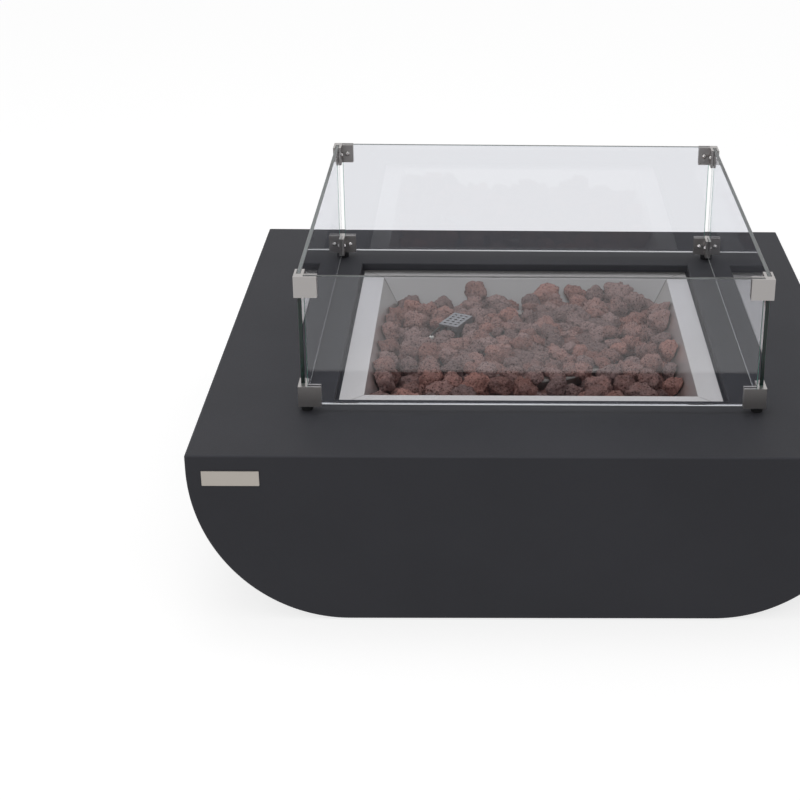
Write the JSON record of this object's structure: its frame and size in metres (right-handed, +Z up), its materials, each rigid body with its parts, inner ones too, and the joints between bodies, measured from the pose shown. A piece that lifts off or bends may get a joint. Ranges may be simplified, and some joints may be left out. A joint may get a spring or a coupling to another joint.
{
  "type": "gas fire pit",
  "caption": "Square low concrete gas fire pit with trough-shaped body, drop-in steel burner pan with lava rock, and a clamped clear-glass wind guard.",
  "frame": {"origin": "middle of the square footprint, on the ground under the rubber pads", "axes": "+Z up; -Y is the front with the blank plate, +Y the back with the recessed controls; +X to the right seen from the front"},
  "size_m": [1.016, 1.0212, 0.496],
  "materials": {
    "charcoal_concrete": "fine cast glass-reinforced concrete, sealed matt",
    "black_rubber": "moulded",
    "plate_metal": "satin, blank",
    "pan_steel": "brushed sheet",
    "burner_steel": "pressed stainless, heat tinted",
    "mixer_steel": "zinc plated",
    "bright_tube": "drawn tube",
    "hood_metal": "heat-darkened sheet",
    "bright_screws": "polished",
    "white_ceramic": "glazed",
    "dark_wire": "oxidised heat-resistant wire",
    "lava_rock": "porous, broken",
    "cast_aluminium": "die-cast",
    "black_plastic": "fine-textured",
    "button_plastic": "gloss",
    "cell_jacket": "plain wrap",
    "brass": "machined",
    "copper": "drawn copper",
    "lead_sleeve": "silicone sleeve",
    "clamp_steel": "brushed extrusion",
    "clear_glass": "clear tempered, polished edges"
  },
  "bodies": {
    "base": {"concrete_shell": "charcoal_concrete", "foot_pads": "black_rubber", "name_plate": "plate_metal", "burner_pan": "pan_steel", "ring_burner": "burner_steel", "burner_locknut": "brass", "burner_elbow": "brass", "air_mixer": "mixer_steel", "gas_orifice": "brass", "flare_nuts": "brass", "gas_line": "bright_tube", "igniter_hood": "hood_metal", "hood_screws": "bright_screws", "electrode_insulator": "white_ceramic", "electrode_rod": "dark_wire", "thermocouple_probe": "burner_steel", "igniter_locknuts": "mixer_steel", "lava_rock_bed": "lava_rock", "control_panel": "pan_steel", "panel_screws": "bright_screws", "gas_valve": "cast_aluminium", "igniter_barrel": "black_plastic", "igniter_cell": "cell_jacket", "igniter_nut": "black_plastic", "gas_inlet": "brass", "inlet_locknut": "brass", "inlet_tube": "bright_tube", "thermocouple_lead": "copper", "ignition_lead": "lead_sleeve", "pan_side_front": "pan_steel", "pan_side_right": "pan_steel", "pan_side_back": "pan_steel", "pan_side_left": "pan_steel", "box_side_left": "pan_steel", "box_side_right": "pan_steel", "box_side_bottom": "pan_steel", "box_side_top": "pan_steel"},
    "valve_plunger": {"push_washer": "mixer_steel"},
    "knob": {"valve_stem": "brass", "control_knob": "black_plastic"},
    "button": {"igniter_button": "button_plastic"},
    "wind_guard": {"lower_clamp_front_left": "clamp_steel", "lower_clamp_front_right": "clamp_steel", "lower_clamp_back_left": "clamp_steel", "lower_clamp_back_right": "clamp_steel", "upper_clamp_front_left": "clamp_steel", "upper_clamp_front_right": "clamp_steel", "upper_clamp_back_left": "clamp_steel", "upper_clamp_back_right": "clamp_steel", "glass_front": "clear_glass", "glass_back": "clear_glass", "glass_left": "clear_glass", "glass_right": "clear_glass", "guard_foot_front_left": "black_rubber", "guard_foot_front_right": "black_rubber", "guard_foot_back_left": "black_rubber", "guard_foot_back_right": "black_rubber", "clamp_screws": "bright_screws", "foot_screws": "bright_screws"}
  },
  "joints": [
    {"name": "knob_push", "type": "slide", "parent": "base", "child": "valve_plunger", "axis": [0, -1, 0], "range_m": [0, 0.004], "stiffness_N_per_m": 1500, "springref_m": -0.002},
    {"name": "knob_turn", "type": "hinge", "parent": "valve_plunger", "child": "knob", "pos_m": [0.045, 0.472, 0.15], "axis": [0, 1, 0], "range_deg": [0, 210]},
    {"name": "igniter_press", "type": "slide", "parent": "base", "child": "button", "axis": [0, -1, 0], "range_m": [0, 0.0035], "stiffness_N_per_m": 600, "springref_m": -0.002},
    {"name": "guard_lift", "type": "slide", "parent": "base", "child": "wind_guard", "axis": [0, 0, 1], "range_m": [0, 0.26]}
  ]
}
